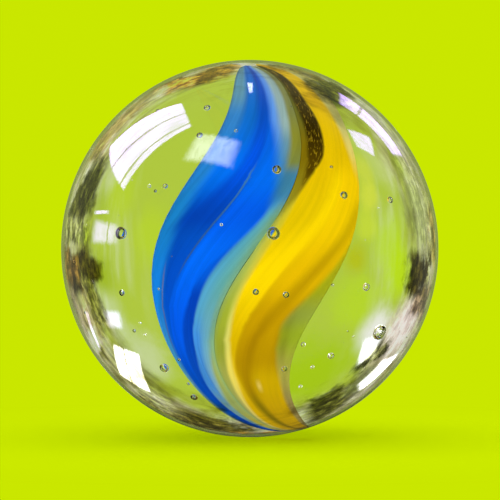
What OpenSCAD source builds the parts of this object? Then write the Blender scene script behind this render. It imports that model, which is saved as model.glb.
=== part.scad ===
// Glass marble: a clear ball with a blue and a yellow vane twisted from pole to pole, and seed bubbles.
// The origin is the ball's centre and +Z runs along the axis that the vanes twist round.
// Azimuth 0 is the front, towards -Y, and grows towards +X. All lengths are in millimetres.

/* [Ball] */
// Diameter of the finished ball
ball_d = 16; // [14:0.5:25]

/* [Vane envelope] */
// Clear glass between the side of the ball and the vanes at their waist
waist_cover = 4.4; // [3.6:0.1:5.4]
// Clear glass above the upper tips of the vanes
top_cover = 1.6; // [1.2:0.1:2.4]
// Clear glass below the lower tips of the vanes
base_cover = 0.7; // [0.5:0.1:1.2]
// How far the lower tips drift towards +X from the twist axis
foot_drift = 2.4; // [0:0.1:3]
// How far the upper tips drift towards -X from the twist axis
head_drift = 0.2; // [0:0.05:0.6]
// How full the vanes stay towards their upper tips: 0.5 is an ellipse and less is fuller
head_fullness = 0.22; // [0.18:0.02:0.6]
// How full the vanes stay towards their lower tips
foot_fullness = 0.3; // [0.2:0.05:0.6]

/* [Twist] */
// Angle through which the vanes turn from their lower to their upper tips
twist = 80; // [0:5:120]
// Height over which the vanes turn
twist_run = 9; // [6:0.5:12]
// Azimuth of the seam between the vanes, half way through its turn
seam_azimuth = -7; // [-30:1:30]
// Height at which the blue vane's outer edge is half way through its turn
blue_turn_z = 1.4; // [-2:0.1:3]
// Height at which the seam is half way through its turn
seam_turn_z = -0.3; // [-2:0.1:2]
// Height at which the yellow vane's outer edge is half way through its turn
yellow_turn_z = -1.4; // [-3:0.1:2]

/* [Blue vane] */
// Angle round the axis that the blue vane covers
blue_angle = 43; // [25:1:60]
// Thickness of the blue vane at its middle
blue_t = 1.3; // [0.6:0.1:1.8]
// Depth of the crease down the blue vane's face
blue_crease = 0.16; // [0:0.02:0.3]
// Share of its width that the blue vane loses on its outer side at its lower tip
blue_foot_taper = 0.8; // [0:0.05:0.9]

/* [Yellow vane] */
// Angle round the axis that the yellow vane covers
yellow_angle = 41; // [25:1:60]
// Thickness of the yellow vane at its middle
yellow_t = 1.5; // [0.6:0.1:1.8]
// Depth of the crease down the yellow vane's face
yellow_crease = 0.12; // [0:0.02:0.3]

/* [Seam and edges] */
// Clear glass in the seam between the two vanes
seam_gap = 0.15; // [0.1:0.05:0.6]
// Thickness of a vane at its edges
edge_t = 0.25; // [0.15:0.05:0.5]

/* [Hidden] */

ball_r = ball_d / 2;
waist_r = ball_r - waist_cover;
top_z = ball_r - top_cover;
// The drifted tips sit below a lower part of the ball's surface than the pole is.
base_z = base_cover - sqrt(pow(ball_r, 2) - pow(foot_drift, 2));
mid_z = (top_z + base_z) / 2;
half_len = (top_z - base_z) / 2;

// Rings of points along a vane, and points across its outer and inner face
ring_count = 48;
outer_steps = 12;
inner_steps = 6;
ring_size = outer_steps + inner_steps + 2;
// The last ring stops short of the tip by this share of the way, and the tip closes it.
ring_reach = 0.98;
// The tip's distance from the axis, as a share of the last ring's
tip_share = 0.6;
// How late along the vanes the drift of each end and the taper of the foot set in
foot_drift_power = 2.5;
head_drift_power = 4;
foot_taper_power = 5;

// Where each vane's crease runs across its face, from 0 at its left edge to 1, and how wide it is
blue_crease_at = 0.58;
yellow_crease_at = 0.42;
crease_w = 0.07;

// Seed bubbles: azimuth, elevation, depth below the surface, diameter
SEEDS = [
    [8, 5, 1.6, 0.5],
    [10, 27, 1.5, 0.35],
    [35, 18, 1.6, 0.3],
    [62, 17, 2.2, 0.25],
    [49, -14, 2.4, 0.3],
    [59, -29, 1.8, 0.6],
    [45, -43, 2.6, 0.25],
    [29, -41, 3.0, 0.2],
    [16, -44, 1.6, 0.25],
    [13, -16, 1.8, 0.25],
    [2, -14, 1.2, 0.25],
    [-31, -54, 1.0, 0.3],
    [-48, -46, 2.2, 0.35],
    [-46, -14, 1.0, 0.25],
    [-47, 5, 1.4, 0.5],
    [-37, 24, 2.6, 0.2],
    [-21, 39, 1.2, 0.25],
    [-29, 58, 2.2, 0.25]
];

function ease(x) = sin(90 * max(-1, min(1, x)));

// Shares of the vanes' height above and below height z
function above(z) = (top_z - z) / (2 * half_len);
function below(z) = (z - base_z) / (2 * half_len);

function reach(z) =
    waist_r * pow(1 - pow((z - mid_z) / half_len, 2), z > mid_z ? head_fullness : foot_fullness);

function drift(z) =
    foot_drift * pow(above(z), foot_drift_power) - head_drift * pow(below(z), head_drift_power);

function blue_width(z) = blue_angle * (1 - blue_foot_taper * pow(above(z), foot_taper_power));

// Azimuth at height z of a line that is at azimuth a when it passes its turning height turn_z
function turned(a, turn_z, z) = a + twist / 2 * ease((z - turn_z) / (twist_run / 2));

// Azimuth that half the seam takes up at height z
function seam_share(z) = atan(seam_gap / 2 / reach(z));

function blue_left(z) = turned(seam_azimuth - blue_width(z), blue_turn_z, z);
function blue_right(z) = turned(seam_azimuth, seam_turn_z, z) - seam_share(z);
function yellow_left(z) = turned(seam_azimuth, seam_turn_z, z) + seam_share(z);
function yellow_right(z) = turned(seam_azimuth + yellow_angle, yellow_turn_z, z);

function on_spindle(r, azimuth, z) = [drift(z) + r * sin(azimuth), -r * cos(azimuth), z];

function crease(s, at, depth) = depth * exp(-pow((s - at) / crease_w, 2));

function thickness(s, middle) = edge_t + (middle - edge_t) * sin(180 * s);

// One closed ring of a vane at height z: its outer face from left to right, then its inner face back
function vane_ring(z, left, right, middle, crease_at, crease_depth) = concat(
    [for (i = [0 : outer_steps])
        let (s = i / outer_steps, cut = crease(s, crease_at, crease_depth) / waist_r)
        on_spindle(reach(z) * (1 - cut), left + (right - left) * s, z)],
    [for (i = [inner_steps : -1 : 0])
        let (s = i / inner_steps, cut = thickness(s, middle) / waist_r)
        on_spindle(reach(z) * (1 - cut), left + (right - left) * s, z)]
);

function ring_z(i) = mid_z + half_len * ease(ring_reach * (2 * i / (ring_count - 1) - 1));

function tip(z, last_z, left, right) =
    let (p = on_spindle(reach(last_z) * tip_share, (left + right) / 2, last_z)) [p.x, p.y, z];

// Two triangles between point j of ring i, the next point and the ring above
function wall_pair(i, j) =
    let (a = i * ring_size + j, b = i * ring_size + (j + 1) % ring_size)
    [[a, a + ring_size, b], [b, a + ring_size, b + ring_size]];

module vane(rings, base_tip, top_tip)
{
    body = [for (ring = rings) each ring];
    first = len(body);
    top_ring = (len(rings) - 1) * ring_size;
    walls = [for (i = [0 : len(rings) - 2], j = [0 : ring_size - 1]) each wall_pair(i, j)];
    base = [for (j = [0 : ring_size - 1]) [first, j, (j + 1) % ring_size]];
    top = [for (j = [0 : ring_size - 1]) [first + 1, top_ring + (j + 1) % ring_size, top_ring + j]];
    polyhedron(concat(body, [base_tip, top_tip]), concat(walls, base, top), convexity = 6);
}

module blue_form()
{
    zs = [for (i = [0 : ring_count - 1]) ring_z(i)];
    first = zs[0];
    last = zs[ring_count - 1];
    vane(
        [for (z = zs) vane_ring(z, blue_left(z), blue_right(z), blue_t, blue_crease_at, blue_crease)],
        tip(base_z, first, blue_left(first), blue_right(first)),
        tip(top_z, last, blue_left(last), blue_right(last))
    );
}

module yellow_form()
{
    zs = [for (i = [0 : ring_count - 1]) ring_z(i)];
    first = zs[0];
    last = zs[ring_count - 1];
    vane(
        [for (z = zs) vane_ring(z, yellow_left(z), yellow_right(z), yellow_t, yellow_crease_at, yellow_crease)],
        tip(base_z, first, yellow_left(first), yellow_right(first)),
        tip(top_z, last, yellow_left(last), yellow_right(last))
    );
}

module seeds()
{
    for (seed = SEEDS)
        rotate([0, 0, seed[0]])
            rotate([seed[1] * -1, 0, 0])
                translate([0, seed[2] - ball_r, 0])
                    sphere(d = seed[3], $fn = 24);
}

module clear_glass()
{
    color([0.86, 0.92, 0.80], 0.35)
        difference()
        {
            sphere(d = ball_d, $fn = 96);
            blue_form();
            yellow_form();
            seeds();
        }
}

module blue_vane()
{
    color([0.0, 0.30, 0.85])
        blue_form();
}

module yellow_vane()
{
    color([0.95, 0.78, 0.05])
        yellow_form();
}

clear_glass();
blue_vane();
yellow_vane();
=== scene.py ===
"""Glass marble: a clear ball with two twisted coloured vanes and seed bubbles in it, in a small studio."""

import math
from contextlib import contextmanager

import bpy
from bpy.props import FloatProperty, FloatVectorProperty, IntProperty, PointerProperty
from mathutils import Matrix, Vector, noise
from mathutils.bvhtree import BVHTree


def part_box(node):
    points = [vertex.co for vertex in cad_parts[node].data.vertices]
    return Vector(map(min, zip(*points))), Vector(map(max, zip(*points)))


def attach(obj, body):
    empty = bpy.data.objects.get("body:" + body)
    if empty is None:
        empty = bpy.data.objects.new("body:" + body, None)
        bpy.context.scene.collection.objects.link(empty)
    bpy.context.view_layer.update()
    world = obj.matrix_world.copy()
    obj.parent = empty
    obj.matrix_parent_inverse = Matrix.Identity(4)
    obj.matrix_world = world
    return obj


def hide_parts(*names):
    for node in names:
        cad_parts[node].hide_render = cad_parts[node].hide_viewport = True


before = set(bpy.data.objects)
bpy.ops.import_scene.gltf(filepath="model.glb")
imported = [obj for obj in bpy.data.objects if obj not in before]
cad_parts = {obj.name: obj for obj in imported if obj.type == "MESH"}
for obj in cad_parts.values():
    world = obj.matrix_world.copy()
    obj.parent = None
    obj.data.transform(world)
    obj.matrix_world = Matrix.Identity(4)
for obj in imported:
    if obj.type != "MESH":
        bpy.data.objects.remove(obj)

bl_info = {
    "name": "Glass Marble",
    "version": (1, 0, 0),
    "blender": (4, 5, 0),
    "location": "View3D > Sidebar > Marble",
    "description": "Adds a clear glass marble with twisted coloured vanes, and a studio to show it in",
    "category": "Add Mesh",
}

MM = 0.001
DEGREE = math.radians(1)
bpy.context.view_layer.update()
BALL_LOW, BALL_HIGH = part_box("clear_glass")
BALL_RADIUS = min(BALL_HIGH)
FLOOR_Z = BALL_LOW[2]
# A loose shell of the glass that is smaller than this is a seed bubble, and not the ball or a cavity.
LARGEST_SEED = 1.5 * MM
# How far out the fine seeds lie: the innermost and the span of the rest, as shares of the ball's radius
INNERMOST_SEED = 0.62
SEED_SPAN = 0.3
# Clear glass round a fine seed, in its own radii
SEED_CLEARANCE = 4
GOLDEN_ANGLE = math.pi * (3 - math.sqrt(5))
# Vane edges that turn by more than this stay crisp.
SEAM_CORNER = 35 * DEGREE
# Shares of a vane's height just past its tips
FOOT = -0.1
HEAD = 1.1

# Where the rim's painted reflection of the room (blotchy shade, fine lines, dark outer edge) sets in and is
# full, from 0 in the middle of the ball's outline to 1 at its edge, and the colours of the shade and the edge
RIM_SHADE_REACH = (0.80, 0.88)
RIM_LINES_REACH = (0.84, 0.95)
RIM_EDGE_REACH = (0.978, 0.992)
RIM_GREY = (86, 83, 72)
RIM_EDGE = (70, 74, 50)
# Light that the glass lets through to the floor and the vanes
SHADOW_TINT = (0.93, 0.95, 0.90)
# Painted reflections of the room at the rim of the glass, dark patches and light ones that are painted
# highlights: degrees round the ball from its right side, how many degrees of the rim to each side, from how
# far out to how far out, and the colour that a screen shows, in hundredths
RIM_REFLECTIONS = (
    (16, 16, 0.88, 0.975, 84, 84, 70),
    (4, 8, 0.955, 0.99, 64, 54, 30),
    (42, 14, 0.955, 0.99, 90, 88, 90),
    (63, 7, 0.885, 0.975, 38, 38, 14),
    (78, 10, 0.955, 0.985, 56, 48, 22),
    (105, 9, 0.91, 0.97, 66, 52, 20),
    (113, 7, 0.93, 0.965, 84, 62, 26),
    (123, 5, 0.935, 0.955, 110, 108, 100),
    (138, 12, 0.925, 0.985, 84, 73, 54),
    (148, 6, 0.89, 0.92, 100, 92, 82),
    (161, 10, 0.86, 0.965, 37, 37, 18),
    (175, 4, 0.86, 0.98, 68, 68, 50),
    (189, 9, 0.845, 0.985, 36, 30, 16),
    (188, 4, 0.79, 0.89, 34, 29, 13),
    (186, 5, 0.91, 0.98, 50, 38, 20),
    (201, 9, 0.84, 0.91, 58, 54, 45),
    (203, 8, 0.90, 0.975, 88, 80, 74),
    (209, 4, 0.93, 0.972, 110, 106, 106),
    (236, 6, 0.90, 0.97, 92, 90, 80),
    (244, 10, 0.95, 0.99, 56, 52, 32),
    (259, 10, 0.91, 0.985, 42, 38, 18),
    (272, 8, 0.965, 1.01, 58, 44, 14),
    (297, 8, 0.86, 0.985, 40, 39, 20),
    (310, 8, 0.90, 0.985, 66, 66, 58),
    (333, 12, 0.86, 0.985, 100, 95, 94),
    (317, 9, 0.84, 0.90, 42, 42, 27),
    (322, 22, 0.955, 1.01, 98, 93, 92),
    (343, 5, 0.90, 0.98, 58, 50, 42),
    (352, 7, 0.84, 0.955, 30, 26, 13),
)
# Where the rim has no painted reflection, because the tips of the vanes show there
RIM_CLEARINGS = ((277, 14, 0.80, 1.0), (84, 16, 0.80, 0.99))

# Soft light patches of the room: degrees right of the back, degrees up, radius in degrees, strength, and the
# colour that a screen shows, in hundredths
SOFT_PATCHES = (
    (-48, 25, 16, 0.9, 97, 95, 95),
    (-56, 20, 13, 0.9, 100, 96, 97),
    (-34, 20, 9, 0.9, 97, 96, 96),
    (-36, -20, 9, 0.4, 86, 88, 66),
    (39, 17, 10, 0.45, 86, 90, 78),
    (31, 27, 12, 0.5, 86, 89, 78),
    (38, 6, 7, 0.7, 62, 72, 4),
    (39, -11, 7, 0.6, 64, 74, 14),
    (46, -18, 13, 0.4, 80, 84, 66),
    (-52, -10, 14, 0.5, 80, 86, 66),
    (-35, -1, 10, 0.7, 75, 89, 5),
    (-25, 12, 10, 0.6, 75, 89, 8),
    (-40, 6, 10, 0.85, 76, 91, 2),
    (-23, 2, 5, 0.8, 74, 76, 0),
    (-18, 31, 17, 0.9, 66, 80, 2),
    (20, -2, 9, 0.5, 76, 88, 12),
    (31, -12, 9, 0.5, 76, 87, 14),
    (-26, -17, 5, 0.5, 88, 90, 30),
    (-27, -11, 5, 0.6, 90, 92, 28),
    (-26, -5, 5, 0.5, 86, 92, 22),
)
# Light in the windows that the glass mirrors, and in their bars. It is bluish, because it goes white and grey
# where it lies over the backdrop's green.
WINDOW_LIGHT = (0.58, 0.40, 1.0)
BAR_LIGHT = (0.06, 0.0, 0.15)
# Light in the windows that show through the glass, and in their bars
DAYLIGHT = (0.9, 0.92, 1.1)
DAYLIGHT_BAR = (0.03, 0.027, 0.036)
WINDOW_DISTANCE = 0.5
# A window's name, its corners in degrees right of the back and degrees up, its share of the full brightness,
# its light, its bars as shares of its width, and how soft its outline is
MIRRORED_WINDOWS = (
    ("left", [(-45, 27), (-45, 57), (-96, 65), (-89, 24)], 1.0, WINDOW_LIGHT, (0.46, 0.84), 0.02),
    ("right", [(22, 34), (37, 45), (50, 26), (38, 20)], 0.4, WINDOW_LIGHT, (0.3,), 0.03),
    ("small", [(55, 37), (66, 49), (78, 43), (70, 34)], 0.7, WINDOW_LIGHT, (), 0.06),
    ("front", [(-168, 46), (-174, 67), (-107, 64), (-121, 46)], 0.55, DAYLIGHT, (), 0.1),
    ("low", [(-68, 1), (-68, 11), (-96, 11), (-96, 1)], 0.7, WINDOW_LIGHT, (0.6,), 0.14),
    ("dash", [(-67, 11.2), (-67, 12.8), (-84, 15.5), (-84, 13.6)], 0.9, WINDOW_LIGHT, (), 0.14),
    ("top", [(-2, 60), (-1, 74), (4, 73), (2, 60)], 0.6, DAYLIGHT, (), 0.1),
)
SEEN_WINDOWS = (
    ("seen_right", [(31, 26), (40, 44), (57, 39), (43, 25)], 0.6, DAYLIGHT, (0.55,), 0.06),
    ("seen_low", [(32, 14), (33, 20), (43, 21), (42, 15)], 0.1, DAYLIGHT, (), 0.16),
    ("seen_edge", [(53, 17), (57, 30), (60, 30), (56, 17)], 0.12, DAYLIGHT, (), 0.05),
    ("seen_left", [(-29, 21), (-32, 32), (-42, 30), (-38, 21)], 0.25, DAYLIGHT, (), 0.16),
    ("seen_far", [(-47, 31), (-40, 40), (-50, 46), (-63, 31)], 0.5, DAYLIGHT, (), 0.1),
)
# The colour that the glass mirrors from straight behind it, at its rim
GRAZED = (54, 58, 35)
# How much of its colour the lit floor keeps, so that it looks as bright as the plain backdrop
LIT_FLOOR_SHARE = 0.84
LAMP_DISTANCE = 0.4
CAMERA_PLACE = (0.01 * MM, -118 * MM, -0.06 * MM)


def screen(*hundredths):
    """Linear light for the red, green and blue that a screen shows, each from 0 to 100."""
    shares = [part / 100 for part in hundredths]
    return tuple(c / 12.92 if c <= 0.04045 else ((c + 0.055) / 1.055) ** 2.4 for c in shares)


def colour(name, description, *default):
    """A colour setting. Its default is what a screen shows, with each part from 0 to 100."""
    return FloatVectorProperty(
        name=name, description=description, subtype="COLOR", size=3, min=0, max=1, default=screen(*default)
    )


class MarbleGlassSettings(bpy.types.PropertyGroup):
    """The clear glass and its seed bubbles."""

    ior: FloatProperty(
        name="IOR", description="Refractive index of the clear glass", default=1.52, min=1.4, max=1.7
    )
    tint: colour("Tint", "Colour that the clear glass gives what is seen through it", 99.5, 100, 99)
    fine_seeds: IntProperty(
        name="Fine Seeds", description="Bubbles too fine for the solid model", default=120, min=0
    )
    fine_seed_d: FloatProperty(
        name="Fine Seed Size", description="Largest diameter of a fine seed", default=0.15 * MM, unit="LENGTH"
    )


class MarbleVaneSettings(bpy.types.PropertyGroup):
    """The seam between the coloured vanes, and their streaks."""

    seam_growth: FloatProperty(
        name="Seam Growth", description="How far vanes grow into the seam", default=0.073 * MM, unit="LENGTH"
    )
    slant: FloatProperty(
        name="Slant", description="Share of a vane's width that its streaks cross", default=0.75
    )
    wander: FloatProperty(name="Wander", description="How far the edges of the colours wander", default=0.05)
    lines: FloatProperty(name="Lines", description="Streaks across a vane's width", default=14, min=0)


class MarbleStageSettings(bpy.types.PropertyGroup):
    """The floor, the room that the glass shows, the lamps and the camera."""

    backdrop: colour("Backdrop", "Colour of the floor and backdrop", 79, 90.5, 0)
    seen_backdrop: colour("Seen Backdrop", "Colour of the backdrop as the glass shows it", 71, 80, 26)
    room: colour("Room", "Colour of the room that the glass mirrors", 52, 52, 44)
    fill: FloatProperty(name="Fill", description="Strength of the light from all round", default=1.15, min=0)
    key: FloatProperty(name="Key", description="Key lamp's power", default=0.2, min=0, unit="POWER")
    front: FloatProperty(name="Front", description="Front lamp's power", default=0.6, min=0, unit="POWER")
    window: FloatProperty(name="Window", description="Brightness of the windows", default=18, min=0)
    lens: FloatProperty(name="Lens", description="Camera's focal length", default=200, min=50, unit="CAMERA")


def deselect_all():
    """Leaves nothing selected, so that an operator acts only on what is selected after this."""
    if bpy.context.object and bpy.context.object.mode != "OBJECT":
        bpy.ops.object.mode_set(mode="OBJECT")
    bpy.ops.object.select_all(action="DESELECT")


def make_active(piece):
    """Selects this piece and no other."""
    deselect_all()
    piece.select_set(True)
    bpy.context.view_layer.objects.active = piece


@contextmanager
def whole_of(piece):
    """Edit mode, with the whole of this piece selected."""
    make_active(piece)
    bpy.ops.object.mode_set(mode="EDIT")
    bpy.ops.mesh.select_all(action="SELECT")
    yield
    bpy.ops.object.mode_set(mode="OBJECT")


def merged_copy(node, name):
    """A copy of a CAD node's mesh as one object, with its loose triangles merged."""
    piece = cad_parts[node].copy()
    piece.data = piece.data.copy()
    piece.name = piece.data.name = name
    piece.data.materials.clear()
    bpy.context.scene.collection.objects.link(piece)
    with whole_of(piece):
        bpy.ops.mesh.remove_doubles(threshold=1e-7)
    return piece


def join(pieces, name):
    """Joins the pieces into the first one."""
    deselect_all()
    for piece in pieces:
        piece.select_set(True)
    bpy.context.view_layer.objects.active = pieces[0]
    bpy.ops.object.join()
    pieces[0].name = pieces[0].data.name = name
    bpy.ops.object.transform_apply(location=True, rotation=True, scale=True)
    return pieces[0]


# ---- node helpers


def plug(tree, socket, value):
    """Gives a socket another node's output, or a value of its own. A colour may leave out its alpha."""
    if isinstance(value, bpy.types.NodeSocket):
        tree.links.new(value, socket)
    elif socket.type == "RGBA":
        socket.default_value = (*value[:3], 1)
    else:
        socket.default_value = value


def add(tree, kind, inputs=None, **settings):
    """A shader node with these settings. Each input is a value or another node's output."""
    node = tree.nodes.new(kind)
    for key, value in settings.items():
        setattr(node, key, value)
    for key, value in (inputs or {}).items():
        plug(tree, node.inputs[key], value)
    return node


def maths(tree, operation, *values, clamp=False):
    """A number worked out from others."""
    node = add(tree, "ShaderNodeMath", dict(enumerate(values)), operation=operation, use_clamp=clamp)
    return node.outputs[0]


def times(tree, value, factor):
    """The value times a factor."""
    return maths(tree, "MULTIPLY", value, factor)


def less(tree, value, taken, clamp=False):
    """The value less what is taken from it."""
    return maths(tree, "SUBTRACT", value, taken, clamp=clamp)


def arrows(tree, operation, *values):
    """A vector worked out from others, or their dot product or length."""
    node = add(tree, "ShaderNodeVectorMath", dict(enumerate(values)), operation=operation)
    return node.outputs["Value" if operation in ("DOT_PRODUCT", "LENGTH") else "Vector"]


def attribute(tree, name):
    """The piece's own attribute of this name."""
    return add(tree, "ShaderNodeAttribute", attribute_name=name).outputs["Fac"]


def smooth(tree, value, low, high):
    """0 below low, 1 above high, and a soft step between."""
    inputs = {"Value": value, "From Min": low, "From Max": high}
    return add(tree, "ShaderNodeMapRange", inputs, interpolation_type="SMOOTHSTEP").outputs["Result"]


def mottled(tree, place, scale, detail, roughness=0.5):
    """Noise with this many blotches to a unit of the place."""
    inputs = {"Vector": place, "Scale": scale, "Detail": detail, "Roughness": roughness}
    return add(tree, "ShaderNodeTexNoise", inputs).outputs["Fac"]


def mix(tree, factor, first, second, blend="MIX"):
    """Mixes two colours, each a value or an output."""
    node = add(tree, "ShaderNodeMix", {0: factor, 6: first, 7: second}, data_type="RGBA", blend_type=blend)
    return node.outputs[2]


def ramp(tree, value, stops, interpolation="LINEAR"):
    """A ramp. Each stop is a position and a value, or a position and a screen's colour in hundredths."""
    node = add(tree, "ShaderNodeValToRGB", {"Fac": value})
    elements = node.color_ramp.elements
    node.color_ramp.interpolation = interpolation
    while len(elements) < len(stops):
        elements.new(0.5)
    while len(elements) > len(stops):
        elements.remove(elements[-1])
    for element, (position, *shade) in zip(elements, stops):
        element.position = position
        element.color = (*screen(*shade), 1) if len(shade) == 3 else (*shade * 3, 1)
    return node.outputs["Color"]


def shader_group(name, inputs, outputs, build):
    """The node group of this name. build is called once with its inputs, and gives its outputs."""
    group = bpy.data.node_groups.get(name)
    if group is None:
        group = bpy.data.node_groups.new(name, "ShaderNodeTree")
        for way, sockets in (("INPUT", inputs), ("OUTPUT", outputs)):
            for key, kind in sockets.items():
                group.interface.new_socket(key, in_out=way, socket_type=f"NodeSocket{kind}")
        given = group.nodes.new("NodeGroupInput").outputs
        result = group.nodes.new("NodeGroupOutput").inputs
        for key, value in build(group, given).items():
            plug(group, result[key], value)
    return group


def new_material(name):
    """A material with an empty node tree and its output."""
    material = bpy.data.materials.new(name)
    material.use_nodes = True
    tree = material.node_tree
    tree.nodes.clear()
    return material, tree, tree.nodes.new("ShaderNodeOutputMaterial")


def show_mix(tree, output, factor, first, second):
    """Gives the material's output a mix of two shaders."""
    both = add(tree, "ShaderNodeMixShader", {0: factor, 1: first.outputs[0], 2: second.outputs[0]})
    plug(tree, output.inputs["Surface"], both.outputs[0])


# ---- clear glass


def build_rim_reflection(group, given):
    """Tint in the middle, and a patched, streaked painted reflection of the room along the rim, seen edge on.
    """
    place = add(group, "ShaderNodeTexCoord").outputs["Object"]
    unit = arrows(group, "MULTIPLY", place, (1 / BALL_RADIUS,) * 3)
    upright = arrows(group, "NORMALIZE", arrows(group, "MULTIPLY", unit, (1, 0, 1)))
    depth = maths(group, "ABSOLUTE", add(group, "ShaderNodeSeparateXYZ", {0: unit}).outputs["Y"])
    shallow = less(group, 1.0, smooth(group, depth, 0.6, 0.8))
    # How far out from the middle of the ball's outline this point is seen, from 0 to 1
    reach = times(group, less(group, 2.0, given["Facing"]), given["Facing"])
    reach = maths(group, "SQRT", reach)

    def reflection_noise(along, outwards, detail):
        """Noise with this many blotches to a radius along the rim and this many across it."""
        inputs = {"Vector": unit, "W": times(group, reach, outwards / along), "Scale": along}
        inputs.update({"Detail": detail, "Roughness": 0.65})
        return add(group, "ShaderNodeTexNoise", inputs, noise_dimensions="4D").outputs["Fac"]

    ragged = less(group, reflection_noise(4.0, 14.0, 6.0), 0.5)
    ragged_reach = maths(group, "MULTIPLY_ADD", ragged, 0.16, reach)
    reflected_shade = reflection_noise(2.0, 8.0, 3.0)
    spots = ramp(group, reflection_noise(14.0, 60.0, 6.0), [(0.38, 0.3), (0.45, 0.65), (0.52, 1.15), (0.60, 2.6)])
    lines = ramp(group, reflection_noise(2.5, 70.0, 5.0), [(0.38, 0.5), (0.46, 0.82), (0.54, 1.1), (0.62, 1.6)])

    def patch(turn, spread, start, end):
        """1 on this stretch of the rim and 0 off it, with a ragged edge."""
        middle = (math.cos(turn * DEGREE), 0, math.sin(turn * DEGREE))
        apart = maths(group, "ARCCOSINE", arrows(group, "DOT_PRODUCT", upright, middle))
        apart = maths(group, "MULTIPLY_ADD", ragged, 3.5 * spread * DEGREE, apart)
        side = smooth(group, apart, 0.6 * spread * DEGREE, 1.4 * spread * DEGREE)
        inside = smooth(group, ragged_reach, start - 0.022, start + 0.022)
        outside = smooth(group, ragged_reach, end - 0.01, end + 0.01)
        return times(group, less(group, less(group, inside, outside), side, clamp=True), shallow)

    # Painted reflection of the room: blotchy shade, dark and light patches, streaks and a dark outer edge.
    shade = ramp(group, reflected_shade, [(0.38, 58, 55, 36), (0.48, *RIM_GREY), (0.58, 98, 97, 93)])
    shade = mix(group, smooth(group, ragged_reach, *RIM_SHADE_REACH), given["Tint"], shade)
    for stretch in RIM_CLEARINGS:
        shade = mix(group, patch(*stretch), shade, (1, 1, 1))
    for turn, spread, start, end, *paint in RIM_REFLECTIONS:
        spottiness = 0.35 if min(paint) > 50 else 1.0
        spotted = mix(group, spottiness, screen(*paint), spots, "MULTIPLY")
        shade = mix(group, patch(turn, spread, start, end), shade, spotted)
    lined = times(group, smooth(group, reach, *RIM_LINES_REACH), 0.7)
    shade = mix(group, lined, shade, mix(group, 1.0, shade, lines, "MULTIPLY"))
    shade = mix(group, smooth(group, reach, *RIM_EDGE_REACH), shade, screen(*RIM_EDGE))
    return {"Color": mix(group, 1.0, shade, shade, "MULTIPLY")}


def glass_material(settings):
    """Clear glass. Lamps reach what is inside it, because it is clear to shadow rays."""
    material, tree, output = new_material("clear_glass_polished")
    facing = add(tree, "ShaderNodeLayerWeight", {"Blend": 0.5}).outputs["Facing"]
    # The glass's base colour carries the painted reflection of the room at the rim.
    group = shader_group("painted_rim_reflection", {"Facing": "Float", "Tint": "Color"}, {"Color": "Color"}, build_rim_reflection)
    rim = add(tree, "ShaderNodeGroup", {"Facing": facing, "Tint": settings.tint}, node_tree=group)
    look = {"Base Color": rim.outputs["Color"], "Roughness": 0.0, "IOR": settings.ior}
    glass = add(tree, "ShaderNodeBsdfPrincipled", {**look, "Transmission Weight": 1.0})
    clear = add(tree, "ShaderNodeBsdfTransparent", {"Color": SHADOW_TINT})
    show_mix(tree, output, add(tree, "ShaderNodeLightPath").outputs["Is Shadow Ray"], glass, clear)
    return material


def seed_shells():
    """The centre and radius of each seed bubble in the solid glass."""
    with whole_of(merged_copy("clear_glass", "seed_shells")):
        bpy.ops.mesh.separate(type="LOOSE")
    seeds = []
    for part in list(bpy.context.selected_objects):
        corners = [Vector(corner) for corner in part.bound_box]
        low, high = corners[0], corners[6]
        if max(high - low) < LARGEST_SEED:
            seeds.append(((low + high) / 2, max(high - low) / 2))
        bpy.data.objects.remove(part)
    return seeds


def fine_seeds(settings, taken):
    """Centres and radii of the fine seeds: an even scatter, clear of the vanes and of the larger seeds."""
    depsgraph = bpy.context.evaluated_depsgraph_get()
    vanes = [BVHTree.FromObject(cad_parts[node], depsgraph) for node in ("blue_vane", "yellow_vane")]
    seeds = []
    for i in range(settings.fine_seeds):
        height = 1 - 2 * (i + 0.5) / settings.fine_seeds
        ring = math.sqrt(1 - height * height)
        way = Vector((ring * math.cos(i * GOLDEN_ANGLE), ring * math.sin(i * GOLDEN_ANGLE), height))
        place = way * (INNERMOST_SEED + SEED_SPAN * noise.cell(way * 50)) * BALL_RADIUS
        radius = settings.fine_seed_d / 2 * (0.45 + 0.55 * noise.cell(way * 90))
        gap = min(tree.find_nearest(place)[3] for tree in vanes)
        near = min((place - centre).length - size for centre, size in taken)
        if min(gap, near) > SEED_CLEARANCE * radius:
            seeds.append((place, radius))
    return seeds


def bubble(centre, radius, levels):
    """A smooth round bubble whose faces point inwards, to the air in it."""
    deselect_all()
    bpy.ops.mesh.primitive_ico_sphere_add(subdivisions=levels, radius=radius, location=centre)
    with whole_of(bpy.context.object):
        bpy.ops.mesh.flip_normals()
    return bpy.context.object


class MARBLE_OT_add_clear_glass(bpy.types.Operator):
    """Add the clear glass ball with its seed bubbles"""

    bl_idname = "marble.add_clear_glass"
    bl_label = "Clear Glass"

    def execute(self, context):
        settings = context.scene.marble_glass
        deselect_all()
        bpy.ops.mesh.primitive_ico_sphere_add(subdivisions=7, radius=BALL_RADIUS)
        ball = bpy.context.object
        shells = seed_shells()
        bubbles = [bubble(centre, radius, 4) for centre, radius in shells]
        bubbles += [bubble(centre, radius, 3) for centre, radius in fine_seeds(settings, shells)]
        ball = join([ball, *bubbles], "marble_clear_glass")
        make_active(ball)
        bpy.ops.object.shade_smooth()
        ball.data.materials.append(glass_material(settings))
        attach(ball, "root")
        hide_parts("clear_glass")
        return {"FINISHED"}


# ---- vanes


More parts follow.
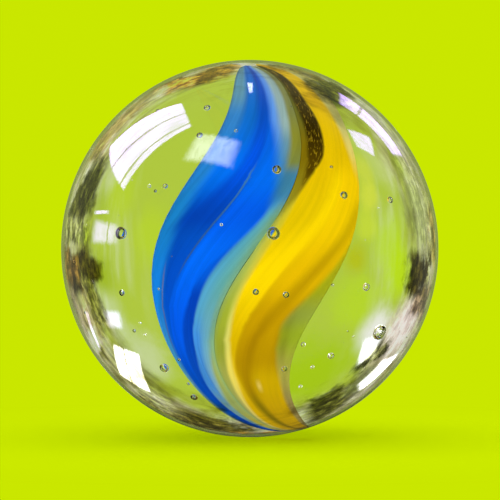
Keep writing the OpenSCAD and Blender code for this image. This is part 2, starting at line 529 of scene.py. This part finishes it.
def rings_of(mesh):
    """The rings of points along a vane, each with its left and its right end.

    The middle ring's ends are the points farthest apart, and the way between them is followed to the tips.
    """
    heights = {}
    for vertex in mesh.vertices:
        heights.setdefault(round(vertex.co.z / MM, 3), []).append(vertex)
    rings = [heights[height] for height in sorted(heights)]
    middle = len(rings) // 2
    pairs = ((a.co, b.co) for i, a in enumerate(rings[middle]) for b in rings[middle][i + 1 :])
    first, second = max(pairs, key=lambda pair: (pair[0] - pair[1]).length_squared)
    turned = first.x * second.y - first.y * second.x
    start = second - first if turned > 0 else first - second
    found = []
    for part in (rings[middle:], rings[middle - 1 :: -1]):
        way = start
        for ring in part:
            left = min(ring, key=lambda vertex: vertex.co.dot(way)).co.copy()
            right = max(ring, key=lambda vertex: vertex.co.dot(way)).co.copy()
            way = right - left if len(ring) > 1 else way
            found.append((ring, left, right))
    return found


def chart_vane(piece):
    """Writes how far along and across the vane each point is, from 0 to 1."""
    mesh = piece.data
    low = min(vertex.co.z for vertex in mesh.vertices)
    high = max(vertex.co.z for vertex in mesh.vertices)
    along = mesh.attributes.new("along", "FLOAT", "POINT")
    across = mesh.attributes.new("across", "FLOAT", "POINT")
    for ring, left, right in rings_of(mesh):
        span = (right - left).length_squared
        for vertex in ring:
            along.data[vertex.index].value = (vertex.co.z - low) / (high - low)
            share = (vertex.co - left).dot(right - left) / span if span else 0.5
            across.data[vertex.index].value = share


def close_seam(piece, low, high, growth):
    """Moves a vane's side along the seam into it by the growth, and keeps that side's corners crisp.

    The side is where the share across the vane goes from low to high.
    """
    mesh = piece.data
    across = mesh.attributes["across"].data
    weights = {}
    for ring, left, right in rings_of(mesh):
        way = (right - left).normalized() * math.copysign(growth, high - low)
        for vertex in ring:
            weight = max(0, min(1, (across[vertex.index].value - low) / (high - low)))
            weights[vertex.index] = weight
            vertex.co += way * weight
    make_active(piece)
    bpy.ops.object.mode_set(mode="EDIT")
    bpy.ops.mesh.select_mode(type="EDGE")
    bpy.ops.mesh.select_all(action="DESELECT")
    bpy.ops.mesh.edges_select_sharp(sharpness=SEAM_CORNER)
    bpy.ops.object.mode_set(mode="OBJECT")
    crease = mesh.attributes.new("crease_edge", "FLOAT", "EDGE")
    for edge in mesh.edges:
        if edge.select and min(weights[vertex] for vertex in edge.vertices) > 0.2:
            crease.data[edge.index].value = 1


def build_streaks(group, given):
    """The drawn streaks of stirred glass: lines that run slantwise along a vane, wander and vary in width."""
    along = attribute(group, "along")
    across = attribute(group, "across")
    slanted = less(group, across, times(group, along, given["Slant"]))

    def pattern(lines, stretch, detail):
        """Noise with this many blotches to the vane's width and this many to its length."""
        place = {"X": times(group, slanted, lines), "Y": times(group, along, stretch), "Z": given["Seed"]}
        return mottled(group, add(group, "ShaderNodeCombineXYZ", place).outputs[0], 1.0, detail, 0.6)

    drift = less(group, pattern(2.0, 6.0, 2.0), 0.5)
    fine = times(group, given["Lines"], 4.0)
    return {
        "Along": along,
        "Across": maths(group, "MULTIPLY_ADD", drift, given["Wander"], across),
        "Broad": pattern(given["Lines"], 1.6, 3.0),
        "Fine": pattern(fine, 4.0, 2.0),
        "Speckle": pattern(fine, 60.0, 6.0),
    }


class Vane:
    """The colours of a vane, painted from its left edge to its right one in layers."""

    def __init__(self, name, settings, seed):
        self.material, self.tree, self.output = new_material(name)
        look = {"Slant": settings.slant, "Wander": settings.wander, "Lines": settings.lines, "Seed": seed}
        results = dict.fromkeys(("Along", "Across", "Broad", "Fine", "Speckle"), "Float")
        group = shader_group("drawn_streaks", dict.fromkeys(look, "Float"), results, build_streaks)
        self.streaks = add(self.tree, "ShaderNodeGroup", look, node_tree=group).outputs
        self.along = self.streaks["Along"]
        self.shade = None
        self.cover = 1.0

    def line(self, *stops):
        """A line along the vane. Each stop is a share of its height and how far across the line is."""
        return ramp(self.tree, self.along, stops, "B_SPLINE")

    def right_of(self, line, soft):
        """1 right of the line and 0 left of it, with a step of this softness between."""
        low = less(self.tree, line, soft)
        high = maths(self.tree, "ADD", line, soft)
        return smooth(self.tree, self.streaks["Across"], low, high)

    def left_of(self, line, soft):
        """1 left of the line and 0 right of it, with a step of this softness between."""
        return less(self.tree, 1.0, self.right_of(line, soft))

    def near(self, line, reach):
        """1 on the line, falling softly to 0 this far from it."""
        away = maths(self.tree, "ABSOLUTE", less(self.tree, self.streaks["Across"], line))
        return less(self.tree, 1.0, smooth(self.tree, away, 0.0, reach))

    def rows(self, mask, low, high, soft=0.03):
        """The part of the mask that lies between these shares of the vane's height."""
        start = smooth(self.tree, self.along, low - soft, low + soft)
        end = smooth(self.tree, self.along, high - soft, high + soft)
        return times(self.tree, mask, less(self.tree, start, end, clamp=True))

    def over(self, mask, *stops, strength=1.0):
        """Paints where the mask is. Each stop is a share of the height and a screen's colour."""
        paint = ramp(self.tree, self.along, stops, "EASE")
        mask = mask if strength == 1 else times(self.tree, mask, strength)
        self.shade = paint if self.shade is None else mix(self.tree, mask, self.shade, paint)

    def thin(self, mask, *stops):
        """Lets the glass thin out where the mask is, this clear at each share of the height."""
        clear = times(self.tree, mask, ramp(self.tree, self.along, stops, "EASE"))
        self.cover = less(self.tree, self.cover, clear, clamp=True)

    def streak(self, kind, low, high, strength):
        """Varies the colour along streaks of this kind, from this much darker to this much lighter."""
        span = {"From Min": 0.35, "From Max": 0.65, "To Min": low, "To Max": high}
        light = add(self.tree, "ShaderNodeMapRange", {"Value": self.streaks[kind], **span})
        self.shade = mix(self.tree, strength, self.shade, light.outputs["Result"], "MULTIPLY")

    def finish(self):
        """Opaque coloured glass where it covers, and clear where it thins out.

        It has no shine of its own, because clear glass lies against it.
        """
        look = {"Base Color": self.shade, "Roughness": 0.9, "IOR": 1.52, "Specular IOR Level": 0.0}
        body = add(self.tree, "ShaderNodeBsdfPrincipled", look)
        tinted = mix(self.tree, 0.3, (1, 1, 1), self.shade)
        clear = add(self.tree, "ShaderNodeBsdfTransparent", {"Color": tinted})
        show_mix(self.tree, self.output, self.cover, clear, body)
        return self.material


def blue_material(settings):
    """Cobalt and navy streaks between an azure left edge and a right margin that pales to teal and olive."""
    vane = Vane("blue_streaked_glass", settings, 3.7)
    azure_edge = vane.line(
        (0.0, 0.05), (0.2, 0.13), (0.3, 0.18), (0.45, 0.23), (0.6, 0.18), (0.7, 0.16), (0.9, 0.25)
    )
    navy_edge = vane.line((0.56, 0.1), (0.62, 0.26), (0.68, 0.36), (0.74, 0.44), (0.9, 0.46))
    crease = vane.line(
        (0.2, 0.20), (0.3, 0.26), (0.4, 0.35), (0.5, 0.48), (0.6, 0.54), (0.72, 0.60), (0.9, 0.63)
    )
    streak_end = vane.line(
        (0.0, 0.20), (0.1, 0.25), (0.2, 0.34), (0.3, 0.47), (0.4, 0.57), (0.5, 0.75), (0.6, 0.95)
    )
    teal_edge = vane.line(
        (0.0, 0.60), (0.06, 0.48), (0.12, 0.42), (0.2, 0.46), (0.3, 0.66), (0.38, 0.75), (0.48, 0.76),
        (0.6, 0.93)
    )
    green_edge = vane.line(
        (0.0, 0.70), (0.06, 0.60), (0.12, 0.56), (0.2, 0.74), (0.3, 0.84), (0.45, 0.86), (0.6, 0.97)
    )
    olive_edge = vane.line((0.0, 0.85), (0.06, 0.70), (0.12, 0.66), (0.17, 0.82), (0.25, 0.90), (0.38, 1.0))
    light_edge = vane.line((0.64, 0.92), (0.7, 0.81), (0.76, 0.76), (0.8, 0.72), (0.85, 0.66), (1.0, 0.62))
    pale_edge = vane.line((0.68, 0.90), (0.76, 0.82), (0.84, 0.76), (1.0, 0.74))
    vane.over(
        1.0,
        (0.05, 42, 52, 50), (0.14, 46, 62, 58), (0.2, 42, 65, 70), (0.26, 27, 61, 82), (0.42, 8, 54, 95),
        (0.6, 10, 51, 80), (0.78, 16, 52, 86), (0.86, 22, 53, 82), (0.94, 38, 60, 70),
    )
    vane.over(
        vane.right_of(azure_edge, 0.07),
        (0.12, 8, 38, 68), (0.2, 0, 34, 82), (0.3, 0, 36, 88), (0.45, 0, 32, 82), (0.6, 0, 31, 76),
        (0.72, 0, 44, 96), (0.88, 6, 42, 80),
    )
    navy = vane.rows(vane.right_of(navy_edge, 0.08), 0.57, HEAD)
    vane.over(navy, (0.6, 0, 26, 72), (0.74, 0, 33, 90), (0.88, 3, 31, 76))
    vane.over(
        vane.right_of(crease, 0.03),
        (0.2, 0, 33, 82), (0.32, 0, 38, 100), (0.5, 0, 42, 100), (0.61, 0, 36, 93), (0.7, 0, 41, 94),
        (0.86, 3, 38, 88),
    )
    vane.over(
        vane.right_of(streak_end, 0.03),
        (0.2, 2, 31, 78), (0.4, 0, 28, 80), (0.46, 0, 37, 92), (0.58, 0, 40, 98),
    )
    light = vane.rows(vane.right_of(light_edge, 0.06), 0.62, HEAD)
    vane.over(light, (0.66, 6, 45, 78), (0.74, 20, 50, 80), (0.84, 38, 60, 92))
    pale = vane.rows(vane.right_of(pale_edge, 0.06), 0.64, HEAD)
    vane.over(pale, (0.68, 24, 50, 64), (0.78, 38, 56, 64), (0.85, 60, 71, 71))
    brown = vane.rows(vane.right_of(0.89, 0.04), 0.72, HEAD, 0.02)
    vane.over(brown, (0.72, 50, 54, 26), (0.8, 55, 55, 18), (0.9, 50, 52, 30))
    vane.over(
        vane.rows(vane.right_of(teal_edge, 0.03), FOOT, 0.63),
        (0.12, 48, 66, 70), (0.2, 30, 60, 90), (0.3, 28, 60, 95), (0.38, 34, 66, 82), (0.55, 30, 62, 74),
    )
    vane.over(
        vane.rows(vane.right_of(green_edge, 0.08), FOOT, 0.62),
        (0.12, 64, 74, 54), (0.2, 53, 74, 84), (0.3, 46, 74, 84), (0.45, 41, 71, 70), (0.58, 46, 70, 60),
    )
    vane.over(
        vane.rows(vane.right_of(olive_edge, 0.06), FOOT, 0.42),
        (0.05, 80, 76, 30), (0.12, 68, 74, 42), (0.2, 72, 78, 42), (0.32, 54, 76, 64),
    )
    seam = vane.rows(vane.right_of(0.97, 0.045), FOOT, 0.64)
    vane.over(seam, (0.28, 58, 75, 52), (0.4, 56, 73, 50), (0.6, 47, 60, 36), strength=0.7)
    hairline = vane.rows(vane.near(less(vane.tree, crease, 0.01), 0.018), 0.47, 0.72)
    vane.over(hairline, (0.5, 20, 36, 56), (0.72, 26, 50, 64), strength=0.8)
    edge_line = vane.rows(vane.near(azure_edge, 0.02), 0.29, 0.47)
    vane.over(edge_line, (0.3, 34, 40, 60), (0.46, 44, 48, 66), strength=0.8)
    vane.streak("Broad", 0.82, 1.15, 0.6)
    vane.streak("Fine", 0.92, 1.08, 0.3)
    left = vane.left_of(0.03, 0.05)
    vane.thin(left, (0.1, 0.6), (0.25, 0.4), (0.34, 0.12), (0.5, 0.2), (0.9, 0.35))
    margin = vane.rows(vane.right_of(green_edge, 0.05), 0.3, 0.62)
    vane.thin(margin, (0.5, 0.12))
    return vane.finish()


def yellow_material(settings):
    """Yellow and ochre streaks, painted highlights and shade, a dark speckled one beside the upper seam, and
    pale margins that thin out.
    """
    vane = Vane("yellow_streaked_glass", settings, 8.2)
    olive_edge = vane.line(
        (0.06, 0.03), (0.16, 0.08), (0.22, 0.11), (0.3, 0.13), (0.4, 0.08), (0.5, 0.05), (0.62, 0.03)
    )
    bright_edge = vane.line(
        (0.06, 0.07), (0.13, 0.12), (0.18, 0.19), (0.3, 0.18), (0.38, 0.13), (0.5, 0.10), (0.64, 0.09)
    )
    ochre_edge = vane.line(
        (0.08, 0.18), (0.15, 0.24), (0.2, 0.20), (0.27, 0.25), (0.35, 0.34), (0.45, 0.36), (0.55, 0.46),
        (0.65, 0.62)
    )
    highlight_ridge = vane.line((0.42, 0.25), (0.5, 0.36), (0.55, 0.42), (0.6, 0.50), (0.68, 0.60))
    shaded_valley = vane.line(
        (0.06, 0.34), (0.16, 0.30), (0.25, 0.38), (0.35, 0.58), (0.42, 0.67), (0.5, 0.78), (0.55, 0.86),
        (0.62, 0.97)
    )
    margin = vane.line(
        (0.06, 0.87), (0.15, 0.88), (0.22, 0.82), (0.3, 0.75), (0.34, 0.71), (0.4, 0.84), (0.47, 0.91),
        (0.55, 1.0)
    )
    top_margin = vane.line((0.66, 1.0), (0.7, 0.88), (0.76, 0.82), (0.84, 0.76), (0.92, 0.64))
    dark_end = vane.line(
        (0.6, 0.02), (0.65, 0.08), (0.69, 0.13), (0.72, 0.22), (0.75, 0.36), (0.8, 0.40), (0.85, 0.38),
        (0.9, 0.25), (1.0, 0.2)
    )
    vane.over(
        1.0,
        (0.08, 76, 74, 46), (0.2, 77, 78, 36), (0.27, 68, 72, 22), (0.35, 72, 77, 22), (0.45, 75, 80, 34),
        (0.57, 80, 78, 28), (0.63, 62, 58, 14),
    )
    vane.over(
        vane.right_of(olive_edge, 0.03),
        (0.1, 94, 86, 42), (0.2, 100, 91, 40), (0.3, 92, 89, 44), (0.4, 81, 79, 30), (0.6, 80, 74, 16),
    )
    vane.over(
        vane.right_of(bright_edge, 0.03),
        (0.1, 92, 75, 0), (0.2, 98, 83, 12), (0.27, 90, 74, 0), (0.45, 100, 85, 0), (0.6, 90, 76, 0),
        (0.75, 92, 76, 0),
    )
    vane.over(
        vane.right_of(ochre_edge, 0.03),
        (0.08, 87, 70, 2), (0.17, 87, 71, 0), (0.24, 77, 60, 0), (0.35, 80, 62, 0), (0.45, 90, 72, 0),
        (0.6, 95, 79, 0), (0.68, 97, 80, 0), (0.75, 91, 75, 0), (0.9, 93, 78, 8),
    )
    # Painted highlight: brighter yellow along the ridge line across the middle of the vane
    vane.over(vane.rows(vane.near(highlight_ridge, 0.14), 0.42, 0.7), (0.5, 100, 85, 0), strength=0.9)
    # Painted shade: darker ochre and olive along the valley line, from the foot up to the middle
    vane.over(
        vane.rows(vane.near(shaded_valley, 0.15), FOOT, 0.62),
        (0.1, 58, 49, 2), (0.17, 70, 54, 0), (0.28, 70, 53, 0), (0.45, 76, 60, 0), (0.6, 83, 69, 0),
    )
    # Painted highlight: a small pale glint low on the vane, in the middle of its width
    vane.over(vane.rows(vane.near(0.5, 0.07), 0.155, 0.175, 0.015), (0.16, 100, 88, 45), strength=0.8)
    vane.over(
        vane.rows(vane.right_of(margin, 0.05), FOOT, 0.58),
        (0.1, 68, 61, 34), (0.2, 80, 77, 34), (0.3, 71, 78, 16), (0.35, 68, 73, 28), (0.42, 74, 75, 8),
        (0.55, 82, 73, 2),
    )
    vane.over(
        vane.rows(vane.right_of(top_margin, 0.06), 0.64, HEAD),
        (0.68, 95, 81, 20), (0.76, 95, 87, 46), (0.84, 82, 81, 50),
    )
    upper = vane.rows(vane.left_of(dark_end, 0.04), 0.62, HEAD)
    vane.over(upper, (0.64, 58, 53, 10), (0.76, 50, 42, 2), (0.9, 42, 43, 14))
    dark_start = vane.line((0.7, 0.08), (0.84, 0.08), (0.9, 0.03), (1.0, 0.0))
    dark = times(vane.tree, upper, vane.right_of(dark_start, 0.04))
    vane.over(dark, (0.66, 46, 37, 0), (0.72, 31, 23, 0), (0.82, 19, 14, 0), (0.92, 26, 22, 4))
    gold = times(vane.tree, dark, smooth(vane.tree, vane.streaks["Speckle"], 0.55, 0.64))
    vane.over(gold, (0.66, 68, 56, 6), (0.9, 62, 50, 10))
    seam = vane.rows(vane.left_of(0.02, 0.03), FOOT, 0.64)
    vane.over(seam, (0.28, 62, 74, 40), (0.45, 62, 74, 44), (0.6, 54, 60, 28), strength=0.7)
    vane.streak("Broad", 0.92, 1.06, 0.6)
    vane.streak("Fine", 0.95, 1.05, 0.3)
    left = vane.rows(vane.left_of(olive_edge, 0.03), FOOT, 0.6)
    vane.thin(left, (0.1, 0.1), (0.4, 0.25), (0.58, 0.1))
    right = vane.rows(vane.right_of(margin, 0.08), FOOT, 0.6)
    vane.thin(right, (0.1, 0.2), (0.3, 0.5), (0.45, 0.4), (0.58, 0.1))
    top_right = vane.rows(vane.right_of(top_margin, 0.08), 0.68, HEAD)
    vane.thin(top_right, (0.7, 0.05), (0.85, 0.2))
    return vane.finish()


def add_vane(node, material, low, high, settings):
    """Makes a smooth vane from the solid one, charts it, and closes the seam to a hairline."""
    piece = merged_copy(node, f"marble_{node}")
    with whole_of(piece):
        bpy.ops.mesh.tris_convert_to_quads(face_threshold=math.pi, shape_threshold=math.pi)
    chart_vane(piece)
    close_seam(piece, low, high, settings.seam_growth)
    modifier = piece.modifiers.new("Subsurf", "SUBSURF")
    modifier.levels = modifier.render_levels = 2
    make_active(piece)
    bpy.ops.object.modifier_apply(modifier=modifier.name)
    bpy.ops.object.shade_smooth_by_angle(angle=SEAM_CORNER)
    piece.data.materials.append(material)
    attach(piece, "root")
    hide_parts(node)


class MARBLE_OT_add_blue_vane(bpy.types.Operator):
    """Add the blue vane"""

    bl_idname = "marble.add_blue_vane"
    bl_label = "Blue Vane"

    def execute(self, context):
        settings = context.scene.marble_vanes
        add_vane("blue_vane", blue_material(settings), 0.8, 1.0, settings)
        return {"FINISHED"}


class MARBLE_OT_add_yellow_vane(bpy.types.Operator):
    """Add the yellow vane"""

    bl_idname = "marble.add_yellow_vane"
    bl_label = "Yellow Vane"

    def execute(self, context):
        settings = context.scene.marble_vanes
        add_vane("yellow_vane", yellow_material(settings), 0.2, 0.0, settings)
        return {"FINISHED"}


# ---- stage


def direction(turn, rise):
    """The way from the ball to a place this many degrees right of the back and this many up."""
    turn, rise = turn * DEGREE, rise * DEGREE
    return Vector((math.cos(rise) * math.sin(turn), math.cos(rise) * math.cos(turn), math.sin(rise)))


def build_room(group, given):
    """What the glass shows in a direction: the backdrop ahead, and a mottled room beside and above it."""
    way = arrows(group, "NORMALIZE", given["Direction"])
    axes = add(group, "ShaderNodeSeparateXYZ", {0: way}).outputs
    streaky = mottled(group, way, 7.0, 8.0, 0.65)
    wander = less(group, streaky, 0.5)
    columns = mottled(group, arrows(group, "MULTIPLY", way, (11, 11, 1.6)), 1.0, 4.0)
    columns = smooth(group, columns, 0.45, 0.68)
    columns = times(group, columns, smooth(group, maths(group, "ABSOLUTE", axes["X"]), 0.3, 0.65))
    pale = mix(group, 0.5, given["Backdrop"], (0.80, 0.85, 0.62))
    wall = mix(group, columns, given["Backdrop"], pale)
    turn = maths(group, "MULTIPLY_ADD", wander, 16 * DEGREE, maths(group, "ARCCOSINE", axes["Y"]))
    beside = smooth(group, turn, 46 * DEGREE, 60 * DEGREE)
    behind = smooth(group, turn, 95 * DEGREE, 110 * DEGREE)
    room = [(0.36, 75, 77, 55), (0.46, 83, 85, 68), (0.54, 88, 90, 78), (0.62, 95, 95, 90)]
    room = ramp(group, streaky, room)
    seen = mix(group, less(group, beside, behind, clamp=True), wall, room)
    for patch_turn, patch_rise, radius, strength, *shade in SOFT_PATCHES:
        apart = arrows(group, "DOT_PRODUCT", way, direction(patch_turn, patch_rise))
        apart = maths(group, "ARCCOSINE", apart)
        apart = maths(group, "MULTIPLY_ADD", wander, radius * DEGREE, apart)
        patch = less(group, 1.0, smooth(group, apart, 0.2 * radius * DEGREE, radius * DEGREE))
        seen = mix(group, times(group, patch, strength), seen, screen(*shade))
    dim = mix(group, 1.0, given["Mirrored Ahead"], (0.15, 0.15, 0.15), "MULTIPLY")
    mirrored = mix(group, smooth(group, axes["Y"], -0.1, 0.5), dim, given["Mirrored Ahead"])
    grazed = mix(group, smooth(group, axes["Y"], 0.6, 0.9), mirrored, screen(*GRAZED))
    return {"Color": seen, "Mirrored": grazed}


def by_ray(tree, way, settings):
    """The colour that a ray brings from here: to the camera, by way of the glass, or to a dull surface."""
    kinds = {"Direction": "Vector", "Backdrop": "Color", "Mirrored Ahead": "Color"}
    group = shader_group("stage_room", kinds, {"Color": "Color", "Mirrored": "Color"}, build_room)
    inputs = {"Direction": way, "Backdrop": settings.seen_backdrop, "Mirrored Ahead": settings.room}
    room = add(tree, "ShaderNodeGroup", inputs, node_tree=group).outputs
    light = add(tree, "ShaderNodeLightPath").outputs
    seen = mix(tree, light["Is Transmission Ray"], room["Mirrored"], room["Color"])
    seen = mix(tree, light["Is Camera Ray"], seen, settings.backdrop)
    return mix(tree, maths(tree, "GREATER_THAN", light["Diffuse Depth"], 0.5), seen, (settings.fill,) * 3)


def build_world(settings):
    """The backdrop for the camera, white light for dull surfaces, and the room for the glass to show."""
    world = bpy.data.worlds.new("studio")
    bpy.context.scene.world = world
    world.use_nodes = True
    tree = world.node_tree
    tree.nodes.clear()
    way = add(tree, "ShaderNodeTexCoord").outputs["Generated"]
    shine = add(tree, "ShaderNodeBackground", {"Color": by_ray(tree, way, settings)})
    add(tree, "ShaderNodeOutputWorld", {"Surface": shine.outputs[0]})


def window_material(name, brightness, light, bar_light, bars, soft):
    """Smudged glass with daylight behind it, a soft outline and thin bars."""
    material, tree, output = new_material(name)
    across = attribute(tree, "across")
    up = attribute(tree, "up")
    place = add(tree, "ShaderNodeCombineXYZ", {"X": times(tree, across, 5.0), "Y": up}).outputs[0]
    smudges = mottled(tree, place, 3.0, 5.0)
    wander = less(tree, smudges, 0.5)
    inside = 1.0
    for share in (across, up):
        from_middle = maths(tree, "ABSOLUTE", less(tree, share, 0.5))
        from_middle = maths(tree, "MULTIPLY_ADD", wander, 2 * soft, from_middle)
        outside = smooth(tree, from_middle, 0.5 - 2 * soft, 0.5)
        inside = times(tree, inside, less(tree, 1.0, outside))
    smudged = tuple(0.72 * part for part in light)
    shine = mix(tree, smooth(tree, smudges, 0.35, 0.6), smudged, light)
    for bar in bars:
        away = less(tree, maths(tree, "MULTIPLY_ADD", wander, 0.05, across), bar)
        beside_bar = smooth(tree, maths(tree, "ABSOLUTE", away), 0.008, 0.028)
        shine = mix(tree, beside_bar, bar_light, shine)
    # The windows are only seen: the lamps do the lighting.
    diffuse_depth = add(tree, "ShaderNodeLightPath").outputs["Diffuse Depth"]
    strength = times(tree, maths(tree, "LESS_THAN", diffuse_depth, 0.5), brightness)
    glow = add(tree, "ShaderNodeEmission", {"Color": shine, "Strength": strength})
    show_mix(tree, output, inside, add(tree, "ShaderNodeBsdfTransparent"), glow)
    material.cycles.emission_sampling = "NONE"
    return material


def add_window(name, corners, material, mirrored):
    """A bright panel with its corners in these directions, mirrored in the glass or seen through it."""
    first, second, third, fourth = (direction(*corner) * WINDOW_DISTANCE for corner in corners)
    deselect_all()
    bpy.ops.mesh.primitive_grid_add(x_subdivisions=16, y_subdivisions=16, size=1, location=(0.5, 0.5, 0))
    bpy.ops.object.transform_apply(location=True)
    pane = bpy.context.object
    pane.name = pane.data.name = name
    across = pane.data.attributes.new("across", "FLOAT", "POINT").data
    up = pane.data.attributes.new("up", "FLOAT", "POINT").data
    for vertex in pane.data.vertices:
        share, rise = vertex.co.x, vertex.co.y
        across[vertex.index].value = share
        up[vertex.index].value = rise
        vertex.co = first.lerp(fourth, share).lerp(second.lerp(third, share), rise)
    pane.data.materials.append(material)
    pane.visible_camera = False
    pane.visible_diffuse = False
    pane.visible_shadow = False
    pane.visible_glossy = mirrored
    pane.visible_transmission = not mirrored


def floor_material(settings):
    """The backdrop's colour, lit like any floor near the ball and plain far from it."""
    material, tree, output = new_material("stage_floor")
    place = add(tree, "ShaderNodeTexCoord").outputs["Object"]
    lit = tuple(LIT_FLOOR_SHARE * part for part in settings.backdrop)
    lit = add(tree, "ShaderNodeBsdfDiffuse", {"Color": lit})
    way = arrows(tree, "SUBTRACT", place, (0, BALL_RADIUS, 0))
    plain = add(tree, "ShaderNodeEmission", {"Color": by_ray(tree, way, settings)})
    light = add(tree, "ShaderNodeLightPath").outputs
    far = smooth(tree, arrows(tree, "LENGTH", place), 1.1 * BALL_RADIUS, 3.2 * BALL_RADIUS)
    near = less(tree, light["Is Camera Ray"], far, clamp=True)
    lights_something = maths(tree, "GREATER_THAN", light["Diffuse Depth"], 0.5)
    factor = maths(tree, "MAXIMUM", less(tree, 1.0, near), lights_something)
    show_mix(tree, output, factor, lit, plain)
    material.cycles.emission_sampling = "NONE"
    return material


def add_floor(settings):
    """The floor under the ball."""
    deselect_all()
    bpy.ops.mesh.primitive_circle_add(vertices=96, radius=3, fill_type="NGON", location=(0, 0, FLOOR_Z))
    floor = bpy.context.object
    floor.name = "stage_floor"
    bpy.ops.object.transform_apply(location=True)
    floor.data.materials.append(floor_material(settings))


def add_lamp(name, turn, rise, size, power):
    """A soft square lamp that shines at the ball and that the glass doesn't mirror."""
    data = bpy.data.lights.new(name, "AREA")
    data.energy = power
    data.shape = "SQUARE"
    data.size = size
    lamp = bpy.data.objects.new(name, data)
    bpy.context.scene.collection.objects.link(lamp)
    lamp.location = direction(turn, rise) * LAMP_DISTANCE
    lamp.rotation_euler = (-lamp.location).to_track_quat("-Z", "Y").to_euler()
    lamp.visible_camera = False
    lamp.visible_glossy = False
    lamp.visible_transmission = False


def add_camera(settings):
    """A camera level with the ball, in front of it."""
    camera = bpy.data.objects.new("camera", bpy.data.cameras.new("camera"))
    bpy.context.scene.collection.objects.link(camera)
    camera.data.lens = settings.lens
    camera.location = CAMERA_PLACE
    camera.rotation_euler = (90 * DEGREE, 0, 0)
    camera.data.clip_start = 10 * MM
    bpy.context.scene.camera = camera


class MARBLE_OT_add_stage(bpy.types.Operator):
    """Add the floor, the room, the windows, the lamps and the camera"""

    bl_idname = "marble.add_stage"
    bl_label = "Stage"

    def execute(self, context):
        scene = context.scene
        settings = scene.marble_stage
        scene.view_settings.view_transform = "Standard"
        scene.cycles.max_bounces = 16
        scene.cycles.transmission_bounces = 16
        scene.cycles.glossy_bounces = 8
        add_floor(settings)
        build_world(settings)
        for windows, bar_light in ((MIRRORED_WINDOWS, BAR_LIGHT), (SEEN_WINDOWS, DAYLIGHT_BAR)):
            for name, corners, share, light, bars, soft in windows:
                name = f"stage_window_{name}"
                material = window_material(name, share * settings.window, light, bar_light, bars, soft)
                add_window(name, corners, material, windows is MIRRORED_WINDOWS)
        add_lamp("stage_key", turn=-60, rise=50, size=0.25, power=settings.key)
        add_lamp("stage_front", turn=165, rise=15, size=0.3, power=settings.front)
        add_camera(settings)
        return {"FINISHED"}


class MARBLE_PT_sidebar(bpy.types.Panel):
    """The marble's pieces and stage in the sidebar"""

    bl_label = "Glass Marble"
    bl_idname = "MARBLE_PT_sidebar"
    bl_space_type = "VIEW_3D"
    bl_region_type = "UI"
    bl_category = "Marble"

    def draw(self, context):
        layout = self.layout
        for operator in PIECES:
            layout.operator(operator.bl_idname)
        scene = context.scene
        for settings in (scene.marble_glass, scene.marble_vanes, scene.marble_stage):
            for key in settings.__annotations__:
                layout.prop(settings, key)


PIECES = (MARBLE_OT_add_clear_glass, MARBLE_OT_add_blue_vane, MARBLE_OT_add_yellow_vane, MARBLE_OT_add_stage)
CLASSES = (MarbleGlassSettings, MarbleVaneSettings, MarbleStageSettings, *PIECES, MARBLE_PT_sidebar)


def register():
    for item in CLASSES:
        bpy.utils.register_class(item)
    bpy.types.Scene.marble_glass = PointerProperty(type=MarbleGlassSettings)
    bpy.types.Scene.marble_vanes = PointerProperty(type=MarbleVaneSettings)
    bpy.types.Scene.marble_stage = PointerProperty(type=MarbleStageSettings)


def unregister():
    del bpy.types.Scene.marble_stage
    del bpy.types.Scene.marble_vanes
    del bpy.types.Scene.marble_glass
    for item in reversed(CLASSES):
        bpy.utils.unregister_class(item)


def main():
    register()
    bpy.ops.marble.add_clear_glass()
    bpy.ops.marble.add_blue_vane()
    bpy.ops.marble.add_yellow_vane()
    bpy.ops.marble.add_stage()


if __name__ == "__main__":
    main()
